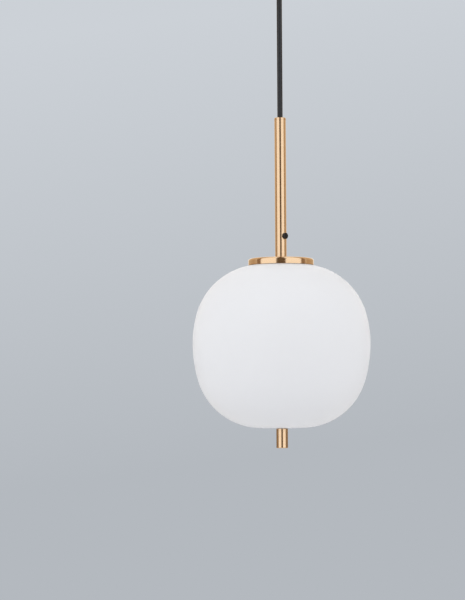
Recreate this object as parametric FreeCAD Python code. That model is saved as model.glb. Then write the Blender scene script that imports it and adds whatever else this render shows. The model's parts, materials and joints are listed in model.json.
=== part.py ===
"""Pendant ceiling light: opal glass shade on a brass stem, hung by its cord from a ceiling rose.

Millimetres. The origin is on the ceiling, in the middle of the bracket, and the lamp hangs
towards -Z. The front is -Y, where the slotted head of the stem's grip screw looks to the right.
"""
import FreeCAD, Part
import math
import os

V = FreeCAD.Vector
ORIGIN = V(0, 0, 0)
UP = V(0, 0, 1)
FULL_TURN = 360
HEX_SIDES = 6
join_tolerance = 1e-6       # shorter runs between two rounded corners are left out

# ---------------------------------------------------------------- clearances
touch_gap = 0.3            # between bodies that only rest against each other
running_gap = 0.05         # radial, round a screw or stud that turns
loose_gap = 0.25           # radial, round a thread that is drawn as a plain cylinder
cord_gap = 0.4             # radial, round the cord in a bore

# ---------------------------------------------------------------- ceiling rose
bracket_thickness = 2.0
bracket_ear_width = 16.0
bracket_ear_drop = 15.0
bracket_plate_length = 60.0
bracket_plate_width = 46.0
bracket_corner = 6.0
bracket_bend = 3.0
ceiling_hole_spacing = 60.0
ceiling_slot_length = 14.0
ceiling_slot_width = 5.0
mains_hole_radius = 7.0
mains_hole_setback = 7.5

canopy_radius = 50.0
canopy_height = 28.0
canopy_wall = 1.0
canopy_round = 3.5
canopy_ear_gap = 1.5
canopy_screw_drop = 10.0
canopy_screw_radius = 2.0
canopy_screw_reach = 8.5
canopy_screw_hole_gap = 0.2
canopy_screw_head_radius = 3.5
canopy_screw_head = 2.4
canopy_screw_slot = (1.0, 0.8, 0.8)        # a screw's slot: width, depth, and its head's edge radius

earth_screw_x = 20.0
earth_screw_y = -13.0
earth_screw_radius = 2.0
earth_screw_head_radius = 3.5
earth_screw_head = 2.4
earth_screw_slot = (0.9, 0.9, 0.4)
lug_radius = 4.0
lug_thickness = 0.8
lug_barrel_radius = 1.7
lug_barrel_length = 6.0
lug_head_gap = 0.2
lug_wire_stop = 2.0

block_length = 21.0
block_width = 15.0
block_height = 12.0
block_corner = 1.5
block_y = 15.5
block_pole_pitch = 10.0
block_screw_pitch = 7.0
block_clamp_size = 4.4
block_clamp_length = 12.0
block_clamp_bore = 1.5
block_clamp_above_floor = 4.2
block_screw_radius = 1.3
block_screw_inset = 0.5
block_screw_slot_width = 0.6
block_screw_slot_depth = 0.8
block_fixing_radius = 1.5
block_fixing_head_radius = 2.6
block_fixing_head = 1.6
block_fixing_slot = (0.8, 0.7, 0.2)

# ---------------------------------------------------------------- gland and cord stop
gland_thread_radius = 5.0
gland_thread_height = 6.0
gland_radius = 9.5
gland_drop = 15.0
gland_edge = 1.0
gland_mouth_radius = 7.5
gland_lip = 0.5
pivot_above_mouth = 6.0
flare_above_pivot = 3.5
flare_round = 2.0
gland_washer_radius = 8.5
gland_washer_thickness = 0.8
thread_nut_flats = 14.0
gland_nut_height = 4.0
stop_radius = 7.0
stop_height = 6.0
stop_screw_radius = 1.5
stop_screw_length = 3.4
stop_screw_slot_width = 0.5
stop_screw_slot_depth = 1.0

# ---------------------------------------------------------------- cord
cord_radius = 3.0
cord_top_to_stem = 190.0
tail_above_stop = 1.5
core_radius = 0.95
core_ring_radius = 1.5
core_bend = 1.6
core_lead = 2.0
core_angles = (120, 240, 0)     # live, neutral and earth in the sheath, from the front

# ---------------------------------------------------------------- stem
stem_length = 160.0
stem_radius = 6.5
stem_bore_radius = 4.5
stem_cap_height = 2.2
stem_cap_spigot = 9.0
stem_cap_round = 0.7
stem_cap_joint_round = 0.35
stem_cap_bore_round = 0.5
cord_into_cap = 4.0
nipple_into_stem = 12.0

grip_height = 25.5
grip_angle = 41.5
grip_screw_radius = 2.0
grip_head_radius = 3.5
grip_head_height = 2.2
grip_head_edge = 0.4
grip_head_off_stem = 0.1
grip_slot_width = 1.0
grip_slot_depth = 0.9
grip_slug_height = 1.3
grip_slug_tip_gap = 0.12

# ---------------------------------------------------------------- disc, yoke and nipple
disc_radius = 37.0
disc_height = 7.5
disc_wall = 1.5
disc_round = 2.4
disc_inner_round = 0.8
disc_over_glass = 0.45
gasket_outer_gap = 0.2
gasket_width = 4.6

nipple_radius = 5.0
yoke_half_width = 27.5
yoke_strap = 12.0
yoke_thickness = 1.5
yoke_top_bend = 5.0
yoke_foot_bend = 12.0
yoke_above_glass_floor = 8.0
lock_washer_radius = 9.0
lock_washer_thickness = 0.8
washer_teeth = 12
washer_notch_width = 1.2
washer_notch_depth = 1.6
lock_nut_height = 4.0

stud_radius = 3.0
stud_edge = 0.5
stud_above_yoke = 6.0
stud_into_finial = 13.0
stud_nut_flats = 10.0
stud_nut_height = 4.5

# ---------------------------------------------------------------- glass
glass_radius = 100.0
glass_wall = 3.2
glass_upper_height = 89.5
glass_crown_radius = 420.0
glass_shoulder_radius = 75.5
glass_upper_side_radius = 123.0
glass_lower_height = 95.5
glass_base_radius = 600.0
glass_heel_radius = 73.5
glass_lower_side_radius = 149.0
glass_mouth_radius = 30.0
glass_hole_radius = 4.5

bush_inner_flange_radius = 8.0
bush_inner_flange = 1.5
bush_outer_flange_radius = 5.6
bush_outer_flange = 0.7

finial_radius = 6.5
finial_length = 22.2
finial_edge = 0.5
finial_rim_wall = 0.6
finial_washer_radius = 5.6
finial_washer_thickness = 0.7
finial_floor = 2.0

# ---------------------------------------------------------------- lampholder
holder_dome_radius = 13.5
holder_neck_radius = 7.5
holder_dome_height = 17.0
holder_wall = 1.2
holder_thread_length = 9.0
holder_skirt_height = 35.0
holder_skirt_wall = 1.6
holder_skirt_overlap = 4.0
holder_mouth_radius = 10.0
holder_core_height = 8.0
shell_wall = 0.35
shell_length = 18.0
shell_groove = 0.45
shell_crest_round = 0.2
shell_root_round = 0.4
contact_thickness = 0.5
contact_width = 4.0
holder_terminal_radius = 1.6
holder_terminal_x = 7.8
holder_terminal_head_radius = 2.2
holder_terminal_head = 1.6
holder_terminal_slot = (0.7, 0.6, 0.2)
holder_neck_height = 4.0
holder_neck_edge = 0.5
holder_neck_round = 0.8
holder_dome_round = 3.0
holder_dome_inner_round = 2.0
holder_skirt_top_edge = 0.4
holder_skirt_foot_edge = 0.8
holder_lip_edge = 0.5
dome_earth_screw_radius = 1.5
dome_earth_screw_length = 3.6
dome_earth_screw_grip = 2.0
dome_earth_screw_rise = 3.0
dome_earth_head_radius = 2.3
dome_earth_head = 1.2
dome_earth_slot = (0.6, 0.5, 0.2)
sheath_below_nipple = 1.0

# ---------------------------------------------------------------- bulb
bulb_length = 78.0
bulb_radius = 22.5
bulb_globe_wall = 1.0
bulb_cap_radius = 6.9
bulb_cap_length = 19.0
bulb_cap_wall = 0.35
bulb_cap_top_round = 0.3
bulb_cap_rim = 1.0
thread_pitch_e14 = 2.82
bulb_thread_turns = 5
bulb_thread_depth = 0.6
bulb_thread_round = 0.6
bulb_first_crest = 0.9      # in pitches below the cap's top
bulb_contact_radius = 2.4
bulb_contact_height = 1.2
bulb_insulator_height = 3.4
bulb_insulator_rim = 0.4
bulb_collar_neck_height = 4.0
bulb_collar_mouth_radius = 17.5
bulb_collar_neck_flare = 1.0
bulb_collar_neck_edge = 0.6
bulb_collar_waist_round = 4.0
bulb_collar_wall = 1.5
board_thickness = 1.6
board_hole_radius = 1.5
led_count = 8
led_size = 2.8
led_height = 0.9
led_ring_share = 0.62
driver_width = 9.0
driver_length = 21.0
driver_coil_radius = 2.2
driver_coil_height = 2.4
driver_chip_size = 4.0
driver_chip_height = 1.4

# ---------------------------------------------------------------- heights down the axis
pivot_z = -(canopy_height + gland_drop - pivot_above_mouth)
stem_top_z = -cord_top_to_stem
stem_foot_z = stem_top_z - stem_length
disc_under_z = stem_foot_z - disc_wall
disc_rim_z = stem_foot_z - disc_height
yoke_under_z = disc_under_z - yoke_thickness
washer_under_z = yoke_under_z - lock_washer_thickness
nut_under_z = washer_under_z - lock_nut_height
nipple_foot_z = nut_under_z - holder_thread_length
sheath_end_z = nipple_foot_z - sheath_below_nipple


# ---------------------------------------------------------------- plain shapes
def ring(outer, inner, top, bottom):
    """Upright cylinder on the lamp's axis, bored when inner is more than nothing."""
    body = Part.makeCylinder(outer, top - bottom, V(0, 0, bottom), UP)
    if inner > 0:
        body = body.cut(Part.makeCylinder(inner, top - bottom, V(0, 0, bottom), UP))
    return body


def rod(start, direction, radius, length):
    """Plain cylinder from start along direction."""
    return Part.makeCylinder(radius, length, start, direction)


def block(low, high):
    """Box between two corners."""
    return Part.makeBox(high.x - low.x, high.y - low.y, high.z - low.z, low)


def around(angle, radius, z=0.0):
    """Point at a radius and height, its angle in degrees from the front, towards +X."""
    turn = math.radians(angle)
    return V(radius * math.sin(turn), -radius * math.cos(turn), z)


def rounded_wire(corners, closed):
    """Straight runs through (point, radius) corners, joined by tangent arcs at the radii."""
    count = len(corners)
    joins = []
    for number, (point, radius) in enumerate(corners):
        is_end = not closed and number in (0, count - 1)
        if is_end or radius == 0:
            joins.append((point, None, point))
            continue
        back = (corners[number - 1][0] - point).normalize()
        ahead = (corners[(number + 1) % count][0] - point).normalize()
        half = back.getAngle(ahead) / 2
        reach = radius / math.tan(half)
        depth = radius / math.sin(half) - radius
        middle = (back + ahead).normalize()
        joins.append((point + back * reach, point + middle * depth, point + ahead * reach))
    edges = []
    for number, (start, middle, end) in enumerate(joins):
        if middle is not None:
            edges.append(Part.Arc(start, middle, end).toShape())
        if number == count - 1 and not closed:
            break
        following = joins[(number + 1) % count][0]
        if (following - end).Length > join_tolerance:
            edges.append(Part.LineSegment(end, following).toShape())
    return Part.Wire(edges)


def turned(outline):
    """Body of revolution about the lamp's axis, from (r, z) or (r, z, radius) corners."""
    corners = [(V(corner[0], 0, corner[1]), corner[2] if len(corner) > 2 else 0) for corner in outline]
    return Part.Face(rounded_wire(corners, True)).revolve(ORIGIN, UP, FULL_TURN)


def plate(outline, top, thickness):
    """Flat plate from (x, y) or (x, y, radius) corners, its upper face at top."""
    corners = [(V(corner[0], corner[1], top), corner[2] if len(corner) > 2 else 0) for corner in outline]
    return Part.Face(rounded_wire(corners, True)).extrude(V(0, 0, -thickness))


def rectangle(length, width, corner, centre_y=0.0):
    """Corners of a rectangle with rounded corners, long side along X."""
    half = length / 2
    low = centre_y - width / 2
    high = centre_y + width / 2
    return [(-half, low, corner), (half, low, corner), (half, high, corner), (-half, high, corner)]


def hex_nut(flats, bore, top, height):
    """Hexagon nut on the lamp's axis."""
    corner = flats / math.sqrt(3)
    points = [around(FULL_TURN * number / HEX_SIDES, corner, top - height) for number in range(HEX_SIDES + 1)]
    return Part.Face(Part.makePolygon(points)).extrude(V(0, 0, height)).cut(ring(bore, 0, top, top - height))


def notched(washer, radius, top, bottom):
    """A washer with its rim cut into teeth."""
    half = washer_notch_width / 2
    notch = block(V(-half, radius - washer_notch_depth, bottom), V(half, 2 * radius, top))
    for number in range(washer_teeth):
        washer = washer.cut(notch.rotated(ORIGIN, UP, FULL_TURN * number / washer_teeth))
    return washer


def tube_along(corners, radius):
    """Round conductor along a rounded path."""
    path = rounded_wire(corners, False)
    start = corners[0][0]
    heading = (corners[1][0] - start).normalize()
    section = Part.Wire(Part.makeCircle(radius, start, heading))
    return path.makePipeShell([section], True, False)


def slot_cut(centre_x, length, width, top, depth):
    """Cutter for a slot along X."""
    return plate(rectangle(length, width, width / 2), top, depth).translated(V(centre_x, 0, 0))


def slotted_screw(tip, direction, shank_radius, shank_length, head_radius, head_height, slot):
    """Cheese-head screw: shank from its tip along direction, then the head, slotted."""
    slot_width, slot_depth, edge = slot
    seat = tip + direction * shank_length
    head = rod(seat, direction, head_radius, head_height)
    crown = seat + direction * head_height
    rim = [item for item in head.Edges if abs((item.CenterOfMass - crown).dot(direction)) < 1e-3]
    head = head.makeFillet(edge, rim)
    across = V(1, 0, 0) if abs(direction.z) == 1 else direction.cross(UP).normalize()
    upright = direction.cross(across).normalize()
    groove = Part.makeBox(slot_width, 3 * head_radius, 2 * slot_depth)
    groove.translate(V(-slot_width / 2, -1.5 * head_radius, -slot_depth))
    turn = FreeCAD.Rotation(across, upright, direction, "ZXY")
    groove.Placement = FreeCAD.Placement(crown, turn) * groove.Placement
    return rod(tip, direction, shank_radius, shank_length).fuse(head).cut(groove).removeSplitter()


# ---------------------------------------------------------------- glass outline
def outline_arcs(height, crown, corner, side, inset):
    """Tangent arcs (centre r, centre h, radius, start angle, end angle) from the axis to the equator.

    The crown arc's centre is on the axis and the side arc's on the equator. The corner arc touches
    both from inside. An inset takes the same centres with smaller radii, which is a parallel wall.
    """
    crown_h = height - crown
    side_r = glass_radius - side
    near = crown - corner
    far = side - corner
    span = math.hypot(side_r, crown_h)
    along = (near * near - far * far + span * span) / (2 * span)
    off = math.sqrt(near * near - along * along)
    way_r = side_r / span
    way_h = -crown_h / span
    choices = [(along * way_r - sign * off * way_h, crown_h + along * way_h + sign * off * way_r)
               for sign in (-1, 1)]
    corner_r, corner_h = max(choices, key=sum)
    steep = math.atan2(corner_h - crown_h, corner_r)
    shallow = math.atan2(corner_h, corner_r - side_r)
    return [(0.0, crown_h, crown - inset, math.pi / 2, steep),
            (corner_r, corner_h, corner - inset, steep, shallow),
            (side_r, 0.0, side - inset, shallow, 0.0)]


def arcs_beyond(sizes, inset, opening):
    """The arcs from an opening's radius outwards, the first one shortened to start there."""
    kept = []
    for centre_r, centre_h, radius, start, end in outline_arcs(*sizes, inset):
        if centre_r + radius * math.cos(end) <= opening:
            continue
        if centre_r + radius * math.cos(start) < opening:
            start = math.acos((opening - centre_r) / radius)
        kept.append((centre_r, centre_h, radius, start, end))
    return kept


def rise_at(sizes, radius, inset):
    """Height of the skin, or of a wall inset from it, over the equator at a radius."""
    centre_r, centre_h, arc, start, end = arcs_beyond(sizes, inset, radius)[0]
    return centre_h + arc * math.sin(start)


UPPER_SIZES = (glass_upper_height, glass_crown_radius, glass_shoulder_radius, glass_upper_side_radius)
LOWER_SIZES = (glass_lower_height, glass_base_radius, glass_heel_radius, glass_lower_side_radius)

equator_z = disc_rim_z - disc_over_glass - rise_at(UPPER_SIZES, disc_radius, 0)
glass_foot_z = equator_z - rise_at(LOWER_SIZES, glass_hole_radius, 0)
glass_floor_z = equator_z - rise_at(LOWER_SIZES, glass_hole_radius, glass_wall)
yoke_foot_z = glass_floor_z + yoke_above_glass_floor
bush_foot_z = glass_foot_z - bush_outer_flange
finial_washer_top_z = bush_foot_z - touch_gap
finial_seat_z = finial_washer_top_z - finial_washer_thickness - touch_gap
finial_foot_z = glass_foot_z - finial_length


def half_outline(sizes, inset, opening, sign):
    """Arc edges from an opening to the equator, above it for sign 1 and below it for sign -1."""
    edges = []
    for centre_r, centre_h, radius, start, end in arcs_beyond(sizes, inset, opening):
        points = [V(centre_r + radius * math.cos(angle), 0,
                    equator_z + sign * (centre_h + radius * math.sin(angle)))
                  for angle in (start, (start + end) / 2, end)]
        edges.append(Part.Arc(*points).toShape())
    return edges


# ---------------------------------------------------------------- ceiling rose
def ceiling_bracket():
    """Bent strap with two ears, ceiling slots, mains entry and the earth screw's hole."""
    half = canopy_radius - canopy_wall - canopy_ear_gap
    inner = half - bracket_thickness
    outline = [(-half, -bracket_ear_drop, 0), (-half, 0, bracket_bend), (half, 0, bracket_bend),
               (half, -bracket_ear_drop, 0), (inner, -bracket_ear_drop, 0),
               (inner, -bracket_thickness, bracket_bend - bracket_thickness),
               (-inner, -bracket_thickness, bracket_bend - bracket_thickness),
               (-inner, -bracket_ear_drop, 0)]
    corners = [(V(x, -bracket_ear_width / 2, z), radius) for x, z, radius in outline]
    strap = Part.Face(rounded_wire(corners, True)).extrude(V(0, bracket_ear_width, 0))
    middle = plate(rectangle(bracket_plate_length, bracket_plate_width, bracket_corner), 0, bracket_thickness)
    body = strap.fuse(middle)
    for side in (-1, 1):
        body = body.cut(slot_cut(side * ceiling_hole_spacing / 2, ceiling_slot_length, ceiling_slot_width,
                                 0, bracket_thickness))
        body = body.cut(rod(V(0, 0, -canopy_screw_drop), V(side, 0, 0), canopy_screw_radius, canopy_radius))
    for x, y, radius in ((0, -mains_hole_setback, mains_hole_radius),
                         (earth_screw_x, earth_screw_y, earth_screw_radius),
                         (0, block_y, block_fixing_radius)):
        body = body.cut(rod(V(x, y, -bracket_thickness), UP, radius, bracket_thickness))
    return body.removeSplitter()


def canopy():
    """Spun cup with a rounded floor edge, the gland's hole and two side holes."""
    inside = canopy_radius - canopy_wall
    floor = -canopy_height + canopy_wall
    cup = turned([(gland_thread_radius, -canopy_height), (canopy_radius, -canopy_height, canopy_round),
                  (canopy_radius, 0), (inside, 0), (inside, floor, canopy_round - canopy_wall),
                  (gland_thread_radius, floor)])
    hole = canopy_screw_radius + canopy_screw_hole_gap
    start = V(-canopy_radius - canopy_wall, 0, -canopy_screw_drop)
    return cup.cut(rod(start, V(1, 0, 0), hole, 2 * canopy_radius + 2 * canopy_wall))


def canopy_screws():
    """The two screws that hold the canopy on the bracket's ears."""
    screws = []
    for side in (-1, 1):
        out = V(side, 0, 0)
        tip = V(side * (canopy_radius - canopy_screw_reach), 0, -canopy_screw_drop)
        screws.append(slotted_screw(tip, out, canopy_screw_radius, canopy_screw_reach,
                                    canopy_screw_head_radius, canopy_screw_head,
                                    canopy_screw_slot))
    return screws


def lug_direction():
    """Level direction from the earth screw towards the cord."""
    return V(-earth_screw_x, -earth_screw_y, 0).normalize()


def lug_barrel_start():
    """Start of the lug's barrel, just clear of the earth screw's head."""
    drop = bracket_thickness + lug_thickness / 2 + lug_barrel_radius
    return V(earth_screw_x, earth_screw_y, -drop) + lug_direction() * (earth_screw_head_radius + lug_head_gap)


def lug_wire_end():
    """Place inside the barrel where the earth core ends."""
    return lug_barrel_start() + lug_direction() * lug_wire_stop


def earth_lug():
    """Ring lug under the earth screw, with its crimped barrel towards the cord."""
    top = -bracket_thickness
    centre = V(earth_screw_x, earth_screw_y, top - lug_thickness)
    way = lug_direction()
    ring_part = rod(centre, UP, lug_radius, lug_thickness)
    barrel = rod(lug_barrel_start(), way, lug_barrel_radius, lug_barrel_length)
    lug = ring_part.fuse(barrel).cut(rod(lug_wire_end(), way, core_radius, lug_barrel_length))
    return lug.cut(rod(centre, UP, earth_screw_radius, lug_thickness)).removeSplitter()


def earth_screw():
    """Screw that clamps the earth lug to the bracket, its tip short of the ceiling."""
    tip = V(earth_screw_x, earth_screw_y, -touch_gap)
    length = bracket_thickness + lug_thickness - touch_gap
    return slotted_screw(tip, -UP, earth_screw_radius, length, earth_screw_head_radius, earth_screw_head,
                         earth_screw_slot)


def pole_places():
    """X of each pole of the terminal block."""
    return [-block_pole_pitch / 2, block_pole_pitch / 2]


block_top_z = -bracket_thickness
block_floor_z = block_top_z - block_height
pole_z = block_floor_z + block_clamp_above_floor + block_clamp_size / 2


def pole_clamp(x):
    """Solid outline of one brass clamp, before it is bored."""
    half = block_clamp_size / 2
    return block(V(x - half, block_y - block_clamp_length / 2, pole_z - half),
                 V(x + half, block_y + block_clamp_length / 2, pole_z + half))


def pole_screw_places(x):
    """Feet of one pole's two clamp screws, on the wire's bore."""
    return [V(x, block_y + side * block_screw_pitch / 2, pole_z) for side in (-1, 1)]


def terminal_block():
    """Two-pole moulded block with wire entries, screw wells and a fixing hole."""
    body = plate(rectangle(block_length, block_width, block_corner, block_y), block_top_z, block_height)
    for x in pole_places():
        body = body.cut(pole_clamp(x))
        entry = V(x, block_y - block_width, pole_z)
        body = body.cut(rod(entry, V(0, 1, 0), block_clamp_bore, 2 * block_width))
        for foot in pole_screw_places(x):
            body = body.cut(rod(foot, -UP, block_screw_radius + loose_gap, block_height))
    body = body.cut(rod(V(0, block_y, block_floor_z), UP, block_fixing_radius, block_height))
    head_seat = V(0, block_y, block_floor_z)
    return body.cut(rod(head_seat, UP, block_fixing_head_radius, block_fixing_head))


def terminal_clamps():
    """Bored brass clamps inside the block."""
    clamps = []
    for x in pole_places():
        clamp = pole_clamp(x).cut(rod(V(x, 0, pole_z), V(0, 1, 0), block_clamp_bore, 2 * block_y))
        for foot in pole_screw_places(x):
            clamp = clamp.cut(rod(foot, -UP, block_screw_radius, block_height))
        clamps.append(clamp)
    return clamps


def terminal_screws():
    """Headless clamp screws, two in each pole."""
    screws = []
    for x in pole_places():
        for foot in pole_screw_places(x):
            tip = foot + V(0, 0, -core_radius)
            end_z = block_floor_z + block_screw_inset
            half = block_screw_slot_width / 2
            shank = rod(tip, -UP, block_screw_radius, tip.z - end_z)
            groove = block(V(x - block_screw_radius, foot.y - half, end_z),
                           V(x + block_screw_radius, foot.y + half, end_z + block_screw_slot_depth))
            screws.append(shank.cut(groove))
    return screws


def block_fixing_screw():
    """Screw that holds the terminal block under the bracket."""
    tip = V(0, block_y, -touch_gap)
    seat = block_floor_z + block_fixing_head
    return slotted_screw(tip, -UP, block_fixing_radius, tip.z - seat, block_fixing_head_radius,
                         block_fixing_head, block_fixing_slot)


def gland_body():
    """Threaded gland with a flared mouth, in which the cord bends as the lamp swings."""
    mouth = -canopy_height - gland_drop
    bore = cord_radius + cord_gap
    return turned([(bore, -canopy_height + canopy_wall + gland_thread_height),
                   (gland_thread_radius, -canopy_height + canopy_wall + gland_thread_height),
                   (gland_thread_radius, -canopy_height), (gland_radius, -canopy_height),
                   (gland_radius, mouth, gland_edge), (gland_mouth_radius, mouth, gland_lip),
                   (bore, pivot_z + flare_above_pivot, flare_round)])


def gland_washer():
    """Toothed washer on the canopy's floor."""
    washer = ring(gland_washer_radius, gland_thread_radius, gland_washer_top_z, -canopy_height + canopy_wall)
    return notched(washer, gland_washer_radius, gland_washer_top_z, -canopy_height + canopy_wall)


def gland_nut():
    """Nut that holds the gland in the canopy."""
    return hex_nut(thread_nut_flats, gland_thread_radius, gland_washer_top_z + gland_nut_height,
                   gland_nut_height)


gland_washer_top_z = -canopy_height + canopy_wall + gland_washer_thickness
stop_foot_z = -canopy_height + canopy_wall + gland_thread_height
stop_top_z = stop_foot_z + stop_height
tail_top_z = stop_top_z + tail_above_stop


def cord_stop():
    """Collar on the cord above the gland, which carries the lamp's weight."""
    collar = ring(stop_radius, cord_radius, stop_top_z, stop_foot_z)
    for side in (-1, 1):
        collar = collar.cut(rod(V(0, 0, (stop_top_z + stop_foot_z) / 2), V(side, 0, 0), stop_screw_radius,
                                2 * stop_radius))
    return collar


def cord_stop_screws():
    """Set screws of the cord stop, their tips on the sheath."""
    screws = []
    for side in (-1, 1):
        tip = V(side * cord_radius, 0, (stop_top_z + stop_foot_z) / 2)
        shank = rod(tip, V(side, 0, 0), stop_screw_radius, stop_screw_length)
        end = cord_radius + stop_screw_length
        ends = sorted((side * end, side * (end - stop_screw_slot_depth)))
        half = stop_screw_slot_width / 2
        groove = block(V(ends[0], -half, tip.z - stop_screw_radius),
                       V(ends[1], half, tip.z + stop_screw_radius))
        screws.append(shank.cut(groove).cut(ring(cord_radius, 0, stop_top_z, stop_foot_z)))
    return screws


# ---------------------------------------------------------------- cord
def bend_socket():
    """Ball-shaped cutter that leaves a gap round the cord's bending point."""
    return Part.makeSphere(cord_radius + touch_gap, V(0, 0, pivot_z))


def cord_tail():
    """Sheathed cord from its bending point up through the gland and the stop."""
    return ring(cord_radius, 0, tail_top_z, pivot_z).cut(bend_socket())


def cord_bend():
    """The short length that flexes in the gland's mouth, drawn as a ball of the cord's own width."""
    return Part.makeSphere(cord_radius, V(0, 0, pivot_z))


def cord_drop():
    """The straight free length, down to just inside the stem's cap."""
    return ring(cord_radius, 0, pivot_z, stem_top_z - cord_into_cap).cut(bend_socket())


def core_starts(z):
    """Places of the live, neutral and earth cores on a sheath's end."""
    return [around(angle, core_ring_radius, z) for angle in core_angles]


def canopy_cores():
    """Cores from the tail: two to the terminal block, one to the earth lug."""
    live, neutral, earth = core_starts(tail_top_z)
    cores = []
    for start, x in ((live, pole_places()[1]), (neutral, pole_places()[0])):
        rise = V(start.x, start.y, pole_z)
        entry = V(x, block_y - block_width / 2 - core_lead, pole_z)
        end = V(x, block_y - block_screw_pitch / 2, pole_z)
        cores.append(tube_along([(start, 0), (rise, core_bend), (entry, core_bend), (end, 0)], core_radius))
    clear = lug_barrel_start() + lug_direction() * (lug_barrel_length + core_lead)
    rise = V(earth.x, earth.y, clear.z - core_lead)
    cores.append(tube_along([(earth, 0), (rise, core_bend), (clear, core_bend), (lug_wire_end(), 0)],
                            core_radius))
    return cores


# ---------------------------------------------------------------- stem
def stem_cap():
    """Threaded bush that closes the stem's top end and guides the cord."""
    bore = cord_radius + cord_gap
    low = stem_top_z - stem_cap_height
    tip = low - stem_cap_spigot
    return turned([(bore, stem_top_z, stem_cap_bore_round), (stem_radius, stem_top_z, stem_cap_round),
                   (stem_radius, low, stem_cap_joint_round), (nipple_radius, low), (nipple_radius, tip),
                   (bore, tip)])


def grip_axis_z():
    """Height of the grip screw's axis."""
    return stem_foot_z + grip_height


def grip_way():
    """Level direction in which the grip screw points outwards."""
    return around(grip_angle, 1.0)


def stem_tube():
    """Brass tube, tapped at both ends, with the grip screw's hole."""
    top = stem_top_z - stem_cap_height
    tube = ring(stem_radius, stem_bore_radius, top, stem_foot_z)
    tube = tube.cut(ring(nipple_radius, 0, top, top - stem_cap_spigot))
    tube = tube.cut(ring(nipple_radius, 0, stem_foot_z + nipple_into_stem, stem_foot_z))
    start = V(0, 0, grip_axis_z())
    return tube.cut(rod(start, grip_way(), grip_screw_radius + running_gap, 2 * stem_radius))


def cord_in_stem():
    """Sheathed cord from the stem's cap down into the lampholder's dome."""
    return ring(cord_radius, 0, stem_top_z - cord_into_cap - touch_gap, sheath_end_z)


slug_start = cord_radius + grip_slug_tip_gap
slug_end = slug_start + grip_slug_height


def grip_slug():
    """Nylon slug that the grip screw presses on the cord."""
    return rod(around(grip_angle, slug_start, grip_axis_z()), grip_way(), grip_screw_radius, grip_slug_height)


def grip_screw():
    """Black nylon cheese-head screw in the stem's wall."""
    tip_radius = slug_end + grip_slug_tip_gap
    tip = around(grip_angle, tip_radius, grip_axis_z())
    length = stem_radius + grip_head_off_stem - tip_radius
    slot = (grip_slot_width, grip_slot_depth, grip_head_edge)
    return slotted_screw(tip, grip_way(), grip_screw_radius, length, grip_head_radius, grip_head_height, slot)


# ---------------------------------------------------------------- disc, yoke and nipple
def cap_disc():
    """Shallow brass cup over the neck of the glass."""
    inside = disc_radius - disc_wall
    return turned([(nipple_radius, stem_foot_z), (disc_radius, stem_foot_z, disc_round),
                   (disc_radius, disc_rim_z), (inside, disc_rim_z), (inside, disc_under_z, disc_inner_round),
                   (nipple_radius, disc_under_z)])


def nipple():
    """Threaded tube that joins stem, disc, yoke and lampholder."""
    return ring(nipple_radius, cord_radius + cord_gap, stem_foot_z + nipple_into_stem, nipple_foot_z)


def shade_gasket():
    """Soft ring under the disc, against which the glass is drawn up."""
    outer = disc_radius - disc_wall - gasket_outer_gap
    inner = outer - gasket_width
    seat_outer = equator_z + rise_at(UPPER_SIZES, outer, 0) + touch_gap
    seat_inner = equator_z + rise_at(UPPER_SIZES, inner, 0) + touch_gap
    return turned([(inner, disc_under_z), (outer - disc_inner_round, disc_under_z),
                   (outer, disc_under_z - disc_inner_round), (outer, seat_outer), (inner, seat_inner)])


def yoke():
    """Closed strap loop from the disc down to the bottom of the glass."""
    half = yoke_half_width
    inner = half - yoke_thickness
    outer_corners = [(-half, disc_under_z, yoke_top_bend), (half, disc_under_z, yoke_top_bend),
                     (half, yoke_foot_z, yoke_foot_bend), (-half, yoke_foot_z, yoke_foot_bend)]
    top_bend = yoke_top_bend - yoke_thickness
    foot_bend = yoke_foot_bend - yoke_thickness
    inner_corners = [(-inner, yoke_under_z, top_bend), (inner, yoke_under_z, top_bend),
                     (inner, yoke_foot_z + yoke_thickness, foot_bend),
                     (-inner, yoke_foot_z + yoke_thickness, foot_bend)]
    loops = []
    for corners in (outer_corners, inner_corners):
        points = [(V(x, -yoke_strap / 2, z), radius) for x, z, radius in corners]
        loops.append(Part.Face(rounded_wire(points, True)).extrude(V(0, yoke_strap, 0)))
    strap = loops[0].cut(loops[1])
    strap = strap.cut(ring(nipple_radius, 0, disc_under_z, yoke_under_z))
    return strap.cut(ring(stud_radius, 0, yoke_foot_z + yoke_thickness, yoke_foot_z))


def lock_washer():
    """Toothed washer between yoke and lock nut."""
    washer = ring(lock_washer_radius, nipple_radius, yoke_under_z, washer_under_z)
    return notched(washer, lock_washer_radius, yoke_under_z, washer_under_z)


def lock_nut():
    """Nut on the nipple, under the yoke."""
    return hex_nut(thread_nut_flats, nipple_radius, washer_under_z, lock_nut_height)


stud_top_z = yoke_foot_z + yoke_thickness + stud_above_yoke


def stud():
    """Threaded stud from the yoke's foot, through the glass, into the finial."""
    foot = finial_seat_z - stud_into_finial
    return turned([(0, stud_top_z), (stud_radius, stud_top_z, stud_edge), (stud_radius, foot, stud_edge),
                   (0, foot)])


def stud_nuts():
    """Nuts that clamp the stud in the yoke, above and below."""
    tops = (yoke_foot_z + yoke_thickness + stud_nut_height, yoke_foot_z)
    return [hex_nut(stud_nut_flats, stud_radius, top, stud_nut_height) for top in tops]


# ---------------------------------------------------------------- glass and finial
def glass_shade():
    """Blown opal globe with a squared outline, open at the neck, holed at the bottom."""
    edges = []
    for sizes, opening, sign in ((UPPER_SIZES, glass_mouth_radius, 1), (LOWER_SIZES, glass_hole_radius, -1)):
        rim = []
        for inset in (0, glass_wall):
            edges += half_outline(sizes, inset, opening, sign)
            rim.append(V(opening, 0, equator_z + sign * rise_at(sizes, opening, inset)))
        edges.append(Part.LineSegment(*rim).toShape())
    wire = Part.Wire(Part.sortEdges(edges)[0])
    return Part.Face(wire).revolve(ORIGIN, UP, FULL_TURN)


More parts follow.
